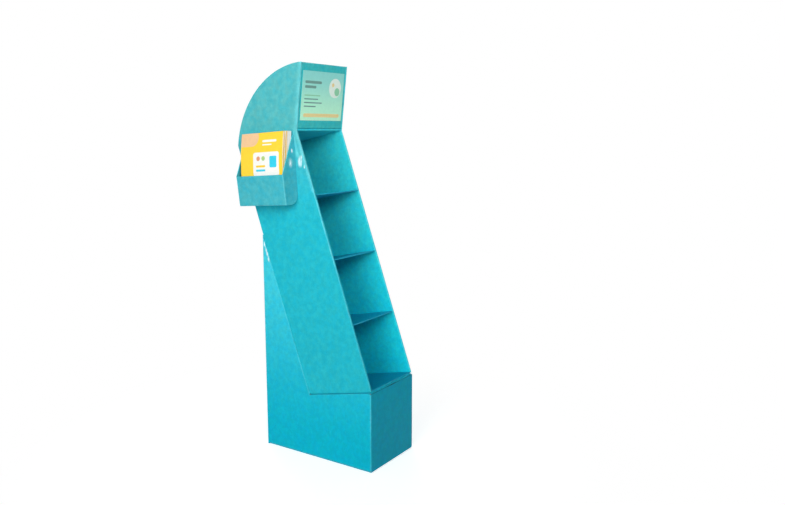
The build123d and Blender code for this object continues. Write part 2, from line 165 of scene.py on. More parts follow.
def pocket_point(along, up, depth):
    """Point of the pocket: along it to the back, up it, and out from the tray's side."""
    along, up, depth = (np.asarray(value)[..., None] for value in (along, up, depth))
    return POCKET_FOOT + POCKET_RUN * along + POCKET_RISE * up - ACROSS * depth


# Meshes

def carried_profile(places, across, out, profile):
    """Closed bar along a path.

    Point (i, j) is place i, plus the direction across times the first value of corner j,
    plus the direction out times its second. Neighbours make four-sided faces and one face
    closes each end.
    """
    count, corners = len(places), profile.shape[-2]
    profile = np.broadcast_to(profile, (count, corners, 2))
    across = np.broadcast_to(across, (count, 3))[:, None]
    out = np.broadcast_to(out, (count, 3))[:, None]
    points = places[:, None] + across * profile[..., :1] + out * profile[..., 1:]
    row = np.arange(count - 1)[:, None] * corners
    here = np.arange(corners)[None]
    after = (here + 1) % corners
    quads = np.stack((row + here, row + after, row + corners + after, row + corners + here), -1)
    ends = np.stack((np.arange(corners)[::-1], (count - 1) * corners + np.arange(corners)))
    return {"points": points.reshape(-1, 3), "quads": quads.reshape(-1, 4), "ends": ends}


def rectangle(across_from, across_to, out_from, out_to):
    """Four corners of a bar's profile."""
    return np.array([(across_from, out_from), (across_to, out_from),
                     (across_to, out_to), (across_from, out_to)])


def new_object(name, data):
    """Object of a mesh, a camera or a lamp, in the scene."""
    thing = bpy.data.objects.new(name, data)
    bpy.context.scene.collection.objects.link(thing)
    return thing


def new_piece(name, shells, materials):
    """Object made of closed shells, each with its points, faces and material, and a leaflet's
    with their flat map and tint too."""
    mesh = bpy.data.meshes.new(name)
    starts = np.cumsum([0] + [len(shell["points"]) for shell in shells])
    faces, counts = [], []
    for shell, start in zip(shells, starts):
        faces += (shell["quads"] + start).tolist() + (shell["ends"] + start).tolist()
        counts.append(len(shell["quads"]) + len(shell["ends"]))
    mesh.from_pydata(np.concatenate([shell["points"] for shell in shells]).tolist(), [], faces)
    kinds = np.repeat([shell["material"] for shell in shells], counts)
    mesh.polygons.foreach_set("material_index", kinds.astype(np.int32))
    if "flat_map" in shells[0]:
        flat_map, tint = (np.concatenate([shell[key] for shell in shells]).astype(np.float32)
                          for key in ("flat_map", "tint"))
        corners = np.empty(len(mesh.loops), dtype=np.int32)
        mesh.loops.foreach_get("vertex_index", corners)
        layer = mesh.uv_layers.new(name="flat_map")
        layer.uv.foreach_set("vector", flat_map[corners].ravel())
        layer = mesh.attributes.new("tint", "FLOAT", "POINT")
        layer.data.foreach_set("value", tint)
    work = bmesh.new()
    work.from_mesh(mesh)
    bmesh.ops.recalc_face_normals(work, faces=work.faces)
    work.to_mesh(mesh)
    work.free()
    for material in materials:
        mesh.materials.append(material)
    piece = new_object(name, mesh)
    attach(piece, BODY)
    return piece


def fluted_edge(line, outs, across, thickness, board):
    """Shells of a raw edge of corrugated board, standing on the cut face.

    The liners are bars along the line. The wave between them runs at the sine of 2 pi times
    the distance over the pitch, times the room between the liners, and its width across is
    the paper's thickness times the root of 1 plus its slope squared. A thin dark bar low
    between the liners is painted shade of the hollow flutes.
    """
    line = np.asarray(line)
    outs = np.broadcast_to(outs, line.shape)
    paper, rise = board.paper_thickness, board.edge_rise
    half = thickness / 2 - board.edge_inset
    inner = half - paper
    floor = rise * FLUTE_FLOOR
    shells = []
    for profile, material in (
            (rectangle(-half, -inner, 0, rise), 0),
            (rectangle(inner, half, 0, rise), 0),
            # Low dark bar: painted shade in the hollows of the flutes.
            (rectangle(-inner, inner, 0, floor), 2)):
        shells.append({**carried_profile(line, across, outs, profile), "material": material})
    steps = np.linalg.norm(np.diff(line, axis=0), axis=1)
    distance = np.concatenate(((0.0,), np.cumsum(steps)))
    pitch = board.flute_pitch * thickness / BOARD
    count = 1 + board.flute_steps * max(1, round(distance[-1] / pitch))
    along = np.linspace(0, distance[-1], count)
    places, out = (np.stack([np.interp(along, distance, column) for column in values.T], 1)
                   for values in (line, outs))
    swing = inner - paper / 2
    angle = 2 * pi * along / pitch
    middle = swing * np.sin(angle)
    slope = swing * 2 * pi / pitch * np.cos(angle)
    reach = paper / 2 * np.sqrt(1 + slope ** 2)
    low, high = np.clip(middle - reach, -inner, inner), np.clip(middle + reach, -inner, inner)
    bottom, top = np.full(count, floor), np.full(count, rise * WAVE_TOP)
    wave = np.stack([np.stack(pair, -1) for pair in (
        (low, bottom), (high, bottom), (high, top), (low, top))], 1)
    shells.append({**carried_profile(places, across, out, wave), "material": 1})
    return shells


# Nodes

def feed(tree, node, values):
    """Set a node's inputs, by place or by name, to values or to other nodes' outputs."""
    pairs = values.items() if isinstance(values, dict) else enumerate(values)
    for key, value in pairs:
        if isinstance(value, bpy.types.NodeSocket):
            tree.links.new(value, node.inputs[key])
        elif value is not None:
            node.inputs[key].default_value = value
    return node


def put(tree, kind, values=(), **settings):
    """New shader node with its settings and inputs."""
    node = tree.nodes.new("ShaderNode" + kind)
    for name, value in settings.items():
        setattr(node, name, value)
    return feed(tree, node, values)


def number(tree, operation, *values):
    """Result of a math node."""
    return put(tree, "Math", values, operation=operation).outputs[0]


def product(tree, first, *others):
    """Product of numbers or masks."""
    for other in others:
        first = number(tree, "MULTIPLY", first, other)
    return first


def vector(tree, operation, *values, output="Vector"):
    """Result of a vector math node."""
    return put(tree, "VectorMath", values, operation=operation).outputs[output]


def scaled(tree, value, factor):
    """Vector or colour times a factor."""
    return vector(tree, "SCALE", value, None, None, factor)


def blend(tree, share, first, second):
    """Mix of two colours, each another node's output or three values."""
    first, second = (value if isinstance(value, bpy.types.NodeSocket) else (*value, 1.0)
                     for value in (first, second))
    node = put(tree, "Mix", {0: share, 6: first, 7: second}, data_type="RGBA")
    return node.outputs[2]


def ramp(tree, value, start, end, low=0.0, high=1.0):
    """Smooth step of a value from low to high between start and end."""
    return put(tree, "MapRange", (value, start, end, low, high),
               interpolation_type="SMOOTHSTEP").outputs[0]


def noise(tree, place, scale, detail):
    """Noise over a place, from 0 to 1."""
    return put(tree, "TexNoise",
               {"Vector": place, "Scale": scale, "Detail": detail}).outputs[0]


def drawn_out(tree, place, upright):
    """Place with its height scaled, so that a pattern over it is drawn out."""
    return put(tree, "Mapping", {"Vector": place, "Scale": (1, 1, upright)}).outputs[0]


def new_group(name, vectors, numbers, results):
    """Empty node group, its node of results, and its named vector and number inputs."""
    tree = bpy.data.node_groups.new(name, "ShaderNodeTree")
    for labels, direction, kind in ((vectors, "INPUT", "NodeSocketVector"),
                                    (numbers, "INPUT", "NodeSocketFloat"),
                                    (results, "OUTPUT", "NodeSocketFloat")):
        for label in labels:
            tree.interface.new_socket(name=label, in_out=direction, socket_type=kind)
    given = tree.nodes.new("NodeGroupInput").outputs
    sockets = [given[label] for label in (*vectors, *numbers)]
    return tree, tree.nodes.new("NodeGroupOutput"), *sockets


def use(tree, build, **values):
    """Outputs of the group that a function builds and that has the function's name.

    A space in the name of an input is written as a line.
    """
    group = bpy.data.node_groups.get(build.__name__) or build(build.__name__)
    inputs = {name.replace("_", " ").capitalize(): value for name, value in values.items()}
    return put(tree, "Group", inputs, node_tree=group).outputs


def print_mottle(name):
    """Cloudy unevenness of flexo print: large soft patches and finer ones, and a slow drift."""
    tree, result, place, patch = new_group(
        name, ("Place",), ("Patch",), ("Shade", "Fine", "Drift"))
    scale = number(tree, "DIVIDE", 1.0, patch)
    large = ramp(tree, noise(tree, place, scale, 1.0), 0.32, 0.68)
    small = ramp(tree, noise(tree, place, product(tree, scale, 3.7), 3.0), 0.30, 0.70)
    moved = vector(tree, "ADD", place, (0.37, 0.71, 0.19))
    drift = ramp(tree, noise(tree, moved, product(tree, scale, 0.6), 3.0), 0.30, 0.70)
    shade = number(tree, "MULTIPLY_ADD", large, 0.5, product(tree, small, 0.5))
    feed(tree, result, {"Shade": shade, "Fine": small, "Drift": drift})
    return tree


def fold_wear(name):
    """Mask of a line along a fold: 1 on the line from a point along a direction for a length,
    fading out at a reach that fine noise breaks up, and stronger in some places than in others.
    It marks the folds' wear and painted highlight, and the painted gap shadows."""
    tree, result, place, point, direction, length, reach = new_group(
        name, ("Place", "Point", "Direction"), ("Length", "Reach"), ("Mask",))
    offset = vector(tree, "SUBTRACT", place, point)
    along = vector(tree, "DOT_PRODUCT", offset, direction, output="Value")
    along = number(tree, "MINIMUM", number(tree, "MAXIMUM", along, 0.0), length)
    nearest = scaled(tree, direction, along)
    distance = vector(tree, "DISTANCE", offset, nearest, output="Value")
    rough = number(tree, "MULTIPLY_ADD", noise(tree, place, 150.0, 4.0), 1.4, 0.3)
    near = number(tree, "DIVIDE", distance, product(tree, reach, rough))
    uneven = ramp(tree, noise(tree, place, 16.0, 3.0), 0.42, 0.66, 0.45, 1.0)
    feed(tree, result, {"Mask": product(tree, ramp(tree, near, 0.25, 1.0, 1.0, 0.0), uneven)})
    return tree


def rub(name):
    """Mask of a glint, a painted highlight of glossy varnish: upright streaks that fade out at
    its reach, which the stretch makes longer or shorter along each axis."""
    tree, result, place, point, stretch, reach = new_group(
        name, ("Place", "Point", "Stretch"), ("Reach",), ("Mask",))
    offset = vector(tree, "MULTIPLY", vector(tree, "SUBTRACT", place, point), stretch)
    near = number(tree, "DIVIDE", vector(tree, "LENGTH", offset, output="Value"), reach)
    streaks = noise(tree, drawn_out(tree, place, 0.3), 170.0, 4.0)
    feed(tree, result, {"Mask": product(
        tree, ramp(tree, near, 0.2, 1.0, 1.0, 0.0), ramp(tree, streaks, 0.40, 0.58, 0.35, 1.0))})
    return tree


def flute_ripple(name):
    """Washboard of the flutes under the liner: a sine along a direction, from 0 to 1."""
    tree, result, place, direction, pitch = new_group(
        name, ("Place", "Direction"), ("Pitch",), ("Height",))
    along = vector(tree, "DOT_PRODUCT", place, direction, output="Value")
    turns = number(tree, "DIVIDE", along, pitch)
    wave = number(tree, "SINE", product(tree, turns, 2 * pi))
    feed(tree, result, {"Height": number(tree, "MULTIPLY_ADD", wave, 0.5, 0.5)})
    return tree


def paper_grain(name):
    """Fine tooth of paper, with sparse longer fibres."""
    tree, result, place, grain = new_group(name, ("Place",), ("Grain",), ("Height", "Fibre"))
    scale = number(tree, "DIVIDE", 1.0, grain)
    fibres = noise(tree, drawn_out(tree, place, 0.2), product(tree, scale, 0.35), 5.0)
    feed(tree, result, {"Height": noise(tree, place, scale, 3.0),
                        "Fibre": ramp(tree, fibres, 0.60, 0.72)})
    return tree


def printed_field(name):
    """Mask of a rounded field: a box's distance, less its corner radius, with a soft rim."""
    tree, result, place, centre, half, radius = new_group(
        name, ("Place", "Centre", "Half size"), ("Radius",), ("Mask",))
    offset = vector(tree, "ABSOLUTE", vector(tree, "SUBTRACT", place, centre))
    corner = put(tree, "CombineXYZ", (radius,) * 3).outputs[0]
    outside = vector(tree, "SUBTRACT", offset, vector(tree, "SUBTRACT", half, corner))
    outside = vector(tree, "MAXIMUM", outside, (0, 0, 0))
    away = number(tree, "SUBTRACT", vector(tree, "LENGTH", outside, output="Value"), radius)
    feed(tree, result, {"Mask": ramp(tree, away, -FIELD_RIM, FIELD_RIM, 1.0, 0.0)})
    return tree


# Materials

def new_material(name):
    """Node material with its Principled shader, and the place on the object."""
    material = bpy.data.materials.new(name)
    material.use_nodes = True
    tree = material.node_tree
    tree.nodes.clear()
    shader = put(tree, "BsdfPrincipled")
    put(tree, "OutputMaterial", {"Surface": shader.outputs["BSDF"]})
    return material, tree, shader, put(tree, "TexCoord").outputs["Object"]


def split(tree, place):
    """Parts of a place, and the place with its left half turned over to the right."""
    axes = put(tree, "SeparateXYZ", (place,)).outputs
    right = number(tree, "ABSOLUTE", axes[0])
    return axes, put(tree, "CombineXYZ", (right, axes[1], axes[2])).outputs[0]


def add_relief(tree, shader, height, depth):
    """Bump of a height over the surface."""
    bump = put(tree, "Bump", {"Height": height, "Distance": depth, "Strength": 1.0})
    feed(tree, shader, {"Normal": bump.outputs[0]})


def below(tree, value, limit):
    """1 where a value is below a limit, else 0."""
    return number(tree, "LESS_THAN", value, limit)


def inside_base(tree, place, axes):
    """Mask of the faces inside the base, below its seat."""
    skin = BOARD * 0.75
    fall = number(tree, "MULTIPLY_ADD", axes[1], tan(SHELF_SLOPE), axes[2])
    level = SEAT_HEIGHT - HALF_DEPTH * tan(SHELF_SLOPE) - skin / cos(SHELF_SLOPE)
    return product(
        tree, below(tree, number(tree, "ABSOLUTE", axes[0]), HALF_WIDTH - skin),
        below(tree, number(tree, "ABSOLUTE", axes[1]), HALF_DEPTH - skin),
        number(tree, "GREATER_THAN", axes[2], skin), below(tree, fall, level))


def inside_tray(tree, place, axes):
    """Mask of the faces between the tray's side walls and before its back, with the folded
    front edge of the right wall. These faces get a lighter ink of their own, which is painted
    light."""
    offset = vector(tree, "SUBTRACT", place, tuple(SEAT_FRONT))
    deep = vector(tree, "DOT_PRODUCT", offset, tuple(LEAN_SQUARE), output="Value")
    back = TRAY_DEPTH * cos(TRAY_LEAN - SHELF_SLOPE) - BOARD / 2
    return product(
        tree, number(tree, "GREATER_THAN", axes[0], WALL - TRAY_HALF - MM / 2),
        below(tree, axes[0], TRAY_HALF - MM / 2), below(tree, deep, back))


def front_panel(tree, place, axes):
    """Mask of the base's front panel, whose darker ink is painted shade."""
    return below(tree, axes[1], -HALF_DEPTH + MM)


def printed_board(name, board, low, high, ripple, folds, rise=(1.0, 1.5), raw=None,
                  second=None, glints=(), gap_shadows=()):
    """Printed board: mottled ink that pales up the stand, as painted light and a painted whitish
    sheen near the top, paler folds, worn and with painted highlights, and flutes under the
    liner.

    Each fold has its start, end, reach and share of wear and highlight; it lies on both sides of
    the stand, or on the left alone, the lit side, where it starts there. Each glint, a painted
    highlight, has its point, reach and stretch, and each gap shadow, a painted dark line where a
    gap is in shade, its start, end and reach. A reach is in millimetres. Raw makes the mask of
    the unprinted faces, and second is the mask, the low and the high colour of faces with a
    colour of their own, which is painted shade on the base's front panel and painted light
    inside the tray.
    """
    material, tree, shader, place = new_material(name)
    axes, mirrored = split(tree, place)
    mottle = use(tree, print_mottle, place=place, patch=board.patch)
    grain = use(tree, paper_grain, place=place, grain=board.grain)

    def along_line(start, end, reach):
        length = np.linalg.norm(end - start)
        return use(tree, fold_wear, place=place if start[0] < 0 else mirrored,
                   point=tuple(start), direction=tuple((end - start) / length),
                   length=length, reach=reach * MM)["Mask"]

    # Painted light and shade: the ink turns from the low to the high colour up the stand, paler
    # and greyer near the top of the base and tray where more light and a whitish sheen fall, and
    # from shaded shelves to a lit ceiling.
    ink = blend(tree, ramp(tree, axes[2], *rise), low, high)
    # The second colour is painted shade on the base's front panel and painted light inside the
    # tray.
    if second is not None:
        mask, second_low, second_high = second
        other = blend(tree, ramp(tree, axes[2], *SECOND_RISE), second_low, second_high)
        ink = blend(tree, mask(tree, place, axes), ink, other)
    shade = number(tree, "MULTIPLY_ADD", mottle["Shade"], board.mottle,
                   1 - board.mottle / 2)
    drift = blend(tree, mottle["Drift"], *INK_DRIFT)
    ink = vector(tree, "MULTIPLY", scaled(tree, ink, shade), drift)
    worn_and_lit = 0.0
    # Paler folds: partly ink worn off, partly painted highlight where a rounded fold catches the
    # light.
    for start, end, reach, wear in folds:
        mask = product(tree, along_line(start, end, reach), wear * board.wear)
        worn_and_lit = number(tree, "MAXIMUM", worn_and_lit, mask)
    ink = blend(tree, worn_and_lit, ink, board.worn_colour)
    # Painted shadow: a dark line where a gap between parts is in shade.
    for start, end, reach in gap_shadows:
        ink = blend(tree, along_line(start, end, reach), ink, scaled(tree, ink, 0.25))
    # Painted highlights: white glints of the glossy varnish.
    for point, reach, stretch in glints:
        spot = use(tree, rub, place=place, point=tuple(point), reach=reach * MM,
                   stretch=stretch)
        ink = blend(tree, spot["Mask"], ink, board.rub_colour)
    ink = blend(tree, product(tree, grain["Fibre"], 0.05), ink, board.worn_colour)
    if raw is not None:
        brown = blend(tree, mottle["Fine"], board.raw_colour,
                      np.multiply(board.raw_colour, 0.88))
        ink = blend(tree, raw(tree, place, axes), ink, brown)
    feed(tree, shader, {
        "Base Color": ink,
        "Roughness": number(tree, "MULTIPLY_ADD", mottle["Fine"], 0.10,
                            board.roughness - 0.05),
        "Specular IOR Level": 0.05, "Coat Weight": board.varnish, "Coat Roughness": 0.22})
    flutes = use(tree, flute_ripple, place=place, direction=tuple(ripple),
                 pitch=board.flute_pitch)
    height = number(tree, "MULTIPLY_ADD", flutes["Height"], 0.75,
                    product(tree, grain["Height"], 0.35))
    add_relief(tree, shader, height, board.relief)
    return material


def raw_paper(name, board, tone, light=1.0, dark=0.82):
    """Unprinted paper with fibres and soft spots, between a light and a dark share of its
    tone."""
    material, tree, shader, place = new_material(name)
    grain = use(tree, paper_grain, place=place, grain=board.grain)
    mottle = use(tree, print_mottle, place=place, patch=6 * MM)
    ground = blend(tree, mottle["Shade"], np.multiply(tone, dark), np.multiply(tone, light))
    ground = blend(tree, product(tree, grain["Fibre"], 0.25), ground,
                   np.multiply(tone, FIBRE_TONE))
    feed(tree, shader, {
        "Base Color": ground, "Specular IOR Level": 0.25,
        "Roughness": number(tree, "MULTIPLY_ADD", mottle["Fine"], 0.08, 0.78)})
    add_relief(tree, shader, grain["Height"], board.relief)
    return material


def finish_print(tree, shader, place, ink, board, patch, unevenness, roughness, smoothing):
    """Give a shader the uneven ink of printed paper, its sheen between two roughnesses, and
    its tooth, which is half as coarse as the board's and shallower by the smoothing."""
    mottle = use(tree, print_mottle, place=place, patch=patch)
    shade = number(tree, "MULTIPLY_ADD", mottle["Shade"], unevenness, 1 - unevenness)
    low, high = roughness
    feed(tree, shader, {
        "Base Color": scaled(tree, ink, shade),
        "Roughness": number(tree, "MULTIPLY_ADD", mottle["Fine"], high - low, low)})
    tooth = use(tree, paper_grain, place=place, grain=board.grain / 2)["Height"]
    add_relief(tree, shader, tooth, board.relief / smoothing)


def add_raw_edges(context, name, edges, thickness):
    """Piece of raw edges, each with its line, outward direction and direction across, and
    their papers: the liner, the wave and a darker copy of the wave, which is painted shade of
    the hollow flutes."""
    board = context.scene.stand_board
    papers = (("edge_liner", board.liner_colour), ("edge_wave", board.wave_colour),
              # Darker copy of the wave: painted shade of the hollow flutes.
              ("edge_floor", board.wave_colour, 0.85, 0.68))
    materials = [bpy.data.materials.get(paper) or raw_paper(paper, board, *tones)
                 for paper, *tones in papers]
    shells = [shell for line, out, across in edges
              for shell in fluted_edge(line, out, across, thickness, board)]
    new_piece(name, shells, materials)


def painted(tree, ground, place, upright, fields):
    """Ground colour with rounded fields laid over it, one after the other.

    Each field has its middle and half its size across and along the upright axis, its corner
    radius, all in millimetres, and its colour. It runs right through the third axis.
    """
    for x, up, half_x, half_up, radius, tone in fields:
        centre, half = np.zeros(3), np.full(3, THROUGH)
        centre[[0, upright]] = x, up
        half[[0, upright]] = half_x, half_up
        mask = use(tree, printed_field, place=place, centre=tuple(centre * MM),
                   half_size=tuple(half * MM), radius=radius * MM)["Mask"]
        ground = blend(tree, mask, ground, tone)
    return ground


def dress(names, material):
    """Give CAD nodes a material."""
    for name in names:
        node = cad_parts[name]
        node.data.materials.clear()
        node.data.materials.append(material)


# Settings

def pick_colour(name, description, default):
    """Setting for a colour."""
    return FloatVectorProperty(name=name, description=description, default=default, size=3,
                               subtype="COLOR", min=0.0, max=1.0)


def pick_share(name, description, default):
    """Setting for a share from 0 to 1."""
    return FloatProperty(name=name, description=description, default=default,
                         min=0.0, max=1.0, subtype="FACTOR")


def pick_length(name, description, default, least, **more):
    """Setting for a length in metres."""
    return FloatProperty(name=name, description=description, default=default,
                         min=least, unit="LENGTH", **more)


def pick_power(name, description, default):
    """Setting for the power of a lamp or the strength of a light."""
    return FloatProperty(name=name, description=description, default=default, min=0.0)


def pick_count(name, description, default, least, most):
    """Setting for a number of things."""
    return IntProperty(name=name, description=description, default=default,
                       min=least, max=most)


class STAND_PG_board(bpy.types.PropertyGroup):
    """Printed and raw corrugated board."""
    base_colour: pick_colour(
        "Base colour", "Ink on the base and the foot of the tray", (0.001, 0.47, 0.62))
    # Darker ink on the base's front panel: painted shade, since the front gets less light than the
    # sides.
    front_colour: pick_colour("Front colour", "Ink on the base's front panel", (0.001, 0.40, 0.56))
    # Paler ink at the top of the base's wings: painted light, lighter where more light falls
    # higher up.
    wing_colour: pick_colour(
        "Wing colour", "Ink at the top of the base's wings", (0.048, 0.60, 0.74))
    tray_colour: pick_colour("Tray colour", "Ink halfway up the tray", (0.017, 0.48, 0.585))
    # Lighter ink low inside the tray: painted light.
    inner_colour: pick_colour("Inner colour", "Ink low inside the tray", (0.010, 0.70, 0.84))
    # Ink high inside the tray: painted light, weaker than low down.
    inner_top_colour: pick_colour(
        "Inner top colour", "Ink high inside the tray", (0.030, 0.60, 0.66))
    # Darker ink on the shelves: painted shade under the shelf above.
    shelf_colour: pick_colour("Shelf colour", "Ink on the shelves", (0.003, 0.37, 0.57))
    # Lighter ink on the ceiling of the top compartment: painted light on its underside.
    ceiling_colour: pick_colour(
        "Ceiling colour", "Ink on the ceiling of the top compartment", (0.035, 0.62, 0.74))
    # Greyer, paler ink on the head: painted light and a painted whitish sheen.
    head_colour: pick_colour("Head colour", "Ink on the head", (0.090, 0.47, 0.50))
    hood_colour: pick_colour("Hood colour", "Ink on the header and the hood", (0.045, 0.50, 0.53))
    pocket_colour: pick_colour("Pocket colour", "Ink on the leaflet pocket", (0.058, 0.44, 0.52))
    # Paler colour of the folds: worn ink and painted highlight; the fibre flecks take it too.
    worn_colour: pick_colour("Worn colour", "Where a fold has lost ink", (0.25, 0.84, 0.90))
    # White of the glints: painted highlight.
    rub_colour: pick_colour(
        "Rubbed colour", "Where a spot is rubbed to the paper", (0.92, 1.0, 1.0))
    raw_colour: pick_colour("Raw board", "Brown unprinted board", (0.46, 0.31, 0.18))
    liner_colour: pick_colour("Liner", "Cut edge of the liners", (0.06, 0.80, 0.90))
    wave_colour: pick_colour("Wave", "Cut edge of the wave between the liners", (0.07, 0.78, 0.88))
    # Share by which the folds pale: wear and painted highlight.
    wear: pick_share("Fold wear", "Share of the ink lost at the folds", 0.55)
    mottle: pick_share("Mottle", "Unevenness of the print", 0.18)
    patch: pick_length("Patch", "Size of the patches in the print", 0.017, 0.001)
    grain: pick_length("Grain", "Size of the paper's grain", 0.0012, 0.0001, precision=4)
    roughness: pick_share("Roughness", "Roughness of the printed face", 0.46)
    varnish: pick_share("Varnish", "Strength of the clear varnish", 0.02)
    relief: pick_length(
        "Relief", "Depth of flutes and grain in the face", 0.00006, 0.0, precision=5)
    flute_pitch: pick_length("Flute pitch", "Distance from one flute to the next", 0.0078, 0.001)
    flute_steps: pick_count("Flute steps", "Points along one flute of a raw edge", 12, 6, 48)
    paper_thickness: pick_length(
        "Paper", "Thickness of the liners and the wave", 0.00038, 0.0001, precision=5)
    edge_inset: pick_length(
        "Edge inset", "How far the raw edge keeps from the board's faces", 0.00005, 0.0,
        precision=5)
    edge_rise: pick_length(
        "Edge rise", "How far the raw edge stands on the cut face", 0.0003, 0.0001,
        precision=5)


class STAND_PG_print(bpy.types.PropertyGroup):
    """Header card and leaflets."""
    card_top: pick_colour("Card, top", "Ink at the top of the header card", (0.28, 0.74, 0.69))
    card_bottom: pick_colour(
        "Card, bottom", "Ink at the bottom of the header card", (0.54, 1.0, 0.72))
    cover: pick_colour("Cover", "Ink of the leaflets' covers", (0.96, 0.66, 0.03))
    page: pick_colour("Page", "Paper of the leaflets' pages", (0.96, 0.96, 0.94))
    layers: pick_count("Leaflets", "Leaflets in one pile", 3, 1, 4)
    plain_piles: pick_count(
        "Plain piles", "Piles of unprinted leaflets next to the stand", 2, 0, 5)
    pages: pick_count("Pages", "Sheets inside one leaflet", 4, 1, 8)
    sheet: pick_length(
        "Sheet", "Thickness of a leaflet's sheet", 0.00018, 0.00005, precision=5)


class STAND_PG_stage(bpy.types.PropertyGroup):
    """Camera, floor and light."""
    camera_place: FloatVectorProperty(
        name="Camera place", description="Where the camera stands", size=3,
        default=(-2.4120, -1.8555, 1.3004), subtype="TRANSLATION", unit="LENGTH")
    camera_forward: FloatVectorProperty(
        name="Camera direction", description="Direction that the camera looks in", size=3,
        default=(0.82433, 0.54361, -0.15797), subtype="DIRECTION")
    lens: FloatProperty(
        name="Lens", description="Focal length of the camera, in millimetres",
        default=35.147, min=1.0)
    floor_colour: pick_colour("Floor colour", "Colour of the studio floor", (0.88, 0.88, 0.88))
    floor_size: pick_length("Floor size", "Width of the studio floor", 24.0, 1.0)
    floor_glow: pick_share("Floor glow", "How much lighter the floor looks than it is lit", 0.60)
    sky: pick_power("Studio light", "Strength of the even light", 0.16)
    key: pick_power("Key light", "Power of the large lamp on the left, in watts", 120.0)
    fill: pick_power("Fill light", "Power of the lamp before the stand, in watts", 8.4)
    back: pick_power("Back light", "Power of the lamp behind the stand, in watts", 44.0)


# Pieces

class STAND_OT_base(bpy.types.Operator):
    """Finish the base and the raw edges of its wings"""
    bl_idname = "stand.base"
    bl_label = "Base"

    def execute(self, context):
        board = context.scene.stand_board
        seat_back = tray_point(TRAY_DEPTH - WING_OVERLAP, 0)
        to_back = (HALF_DEPTH - tray_point(TRAY_DEPTH, 0)[1]) / UP_LEAN[1]
        tip = tray_point(TRAY_DEPTH, to_back)
        side = ACROSS * HALF_WIDTH
        corner, rear = side - DEPTHWAYS * HALF_DEPTH, side + DEPTHWAYS * HALF_DEPTH
        # The base's folds pale: wear and painted highlight along the rounded folds.
        folds = (
            (corner, SEAT_FRONT + side, 6, 0.5),
            (rear, tip + side, 5, 0.9),
            (corner * (0, 1, 1), corner, 4, 0.6),
            (SEAT_FRONT, SEAT_FRONT + side, 4, 0.4),
            (SEAT_FRONT + side, seat_back + side, 4, 0.4),
            (seat_back + side, tip + side, 5, 0.4))
        # Painted shadow: a dark line under the base's top front edge, where the gap below the
        # tray's front is in shade.
        gap_line = SEAT_FRONT - np.array((0, 0, 4.5 * MM))
        # White specks near the wing's tip: painted highlights.
        glints = [(tip - side - UP_LEAN * fall, 9, SIDE_SPOT)
                for fall in (0.04, 0.06, 0.08, 0.10)]
        dress(["base"], printed_board(
            # The base's ink turns paler up to its wings: painted light.
            "base_print", board, board.base_colour, board.wing_colour,
            ACROSS + DEPTHWAYS, folds, rise=(0.05, 0.85), raw=inside_base,
            # The base's front panel gets its darker ink here: painted shade.
            second=(front_panel, board.front_colour, board.front_colour), glints=glints,
            gap_shadows=((gap_line, gap_line + side, 3.5),)))
        run = (tip - seat_back) / np.linalg.norm(tip - seat_back)
        out = np.array((0, -run[2], run[1]))
        line = np.stack((seat_back + BOARD * run, tip - 2 * BOARD * run))
        edges = [(line + shift, out, ACROSS) for shift in both_sides(HALF_WIDTH - BOARD / 2)]
        add_raw_edges(context, "wing_edges", edges, BOARD)
        return {"FINISHED"}


class STAND_OT_supports(bpy.types.Operator):
    """Finish the plates inside the base"""
    bl_idname = "stand.supports"
    bl_label = "Supports"

    def execute(self, context):
        board = context.scene.stand_board
        dress(["support_long", "support_cross_front", "support_cross_back"],
              raw_paper("support_kraft", board, board.raw_colour))
        return {"FINISHED"}


class STAND_OT_tray(bpy.types.Operator):
    """Finish the tray"""
    bl_idname = "stand.tray"
    bl_label = "Tray"

    def execute(self, context):
        board = context.scene.stand_board
        side = ACROSS * TRAY_HALF
        inner = ACROSS * (TRAY_HALF - WALL)
        left = SEAT_FRONT - side
        # The tray's folds pale: wear and painted highlight; the streaks and bands down the left
        # front edge, on the lit side alone, are mostly painted highlight.
        streaks = [(left + UP_LEAN * up, HEADER_FOOT - side, 6, wear)
                   for up, wear in ((0.0, 0.25), (0.30, 0.45), (0.50, 0.70), (0.70, 1.1))]
        folds = (
            *streaks,
            (tray_point(0, 0.80) - side, HEADER_FOOT - side, 15, 0.9),
            (left + UP_LEAN * 0.935 + DEPTHWAYS * 0.030,
             left + UP_LEAN * 1.03 + DEPTHWAYS * 0.020, 10, 0.9),
            (SEAT_FRONT + side, HEADER_FOOT + side, 4, 0.2),
            (SEAT_FRONT + inner, HEADER_FOOT + inner, 4, 0.6),
            (tray_point(TRAY_DEPTH, 0) + side, BACK_CORNER + side, 4, 0.8),
            (HEADER_FOOT + side, HEADER_TOP + side, 20, 0.75),
            (HEADER_FOOT + inner, HEADER_TOP + inner, 5, 0.6))
        # White glints on the tray's left side near its front: painted highlights.
        glints = [(left + UP_LEAN * up + DEPTHWAYS * depth, reach, SIDE_SPOT)
                for up, depth, reach in (
                    (0.912, 0.025, 14), (0.930, 0.012, 6), (0.893, 0.010, 5))]
        dress(["tray"], printed_board(
            # The tray's ink turns greyer and paler at the head: painted light and a painted
            # whitish sheen.
            "tray_print", board, board.tray_colour, board.head_colour,
            ACROSS + LEAN_SQUARE, folds, rise=(0.95, 1.40),
            # Lighter ink inside the tray, strongest low down: painted light.
            second=(inside_tray, board.inner_colour, board.inner_top_colour), glints=glints))
        return {"FINISHED"}


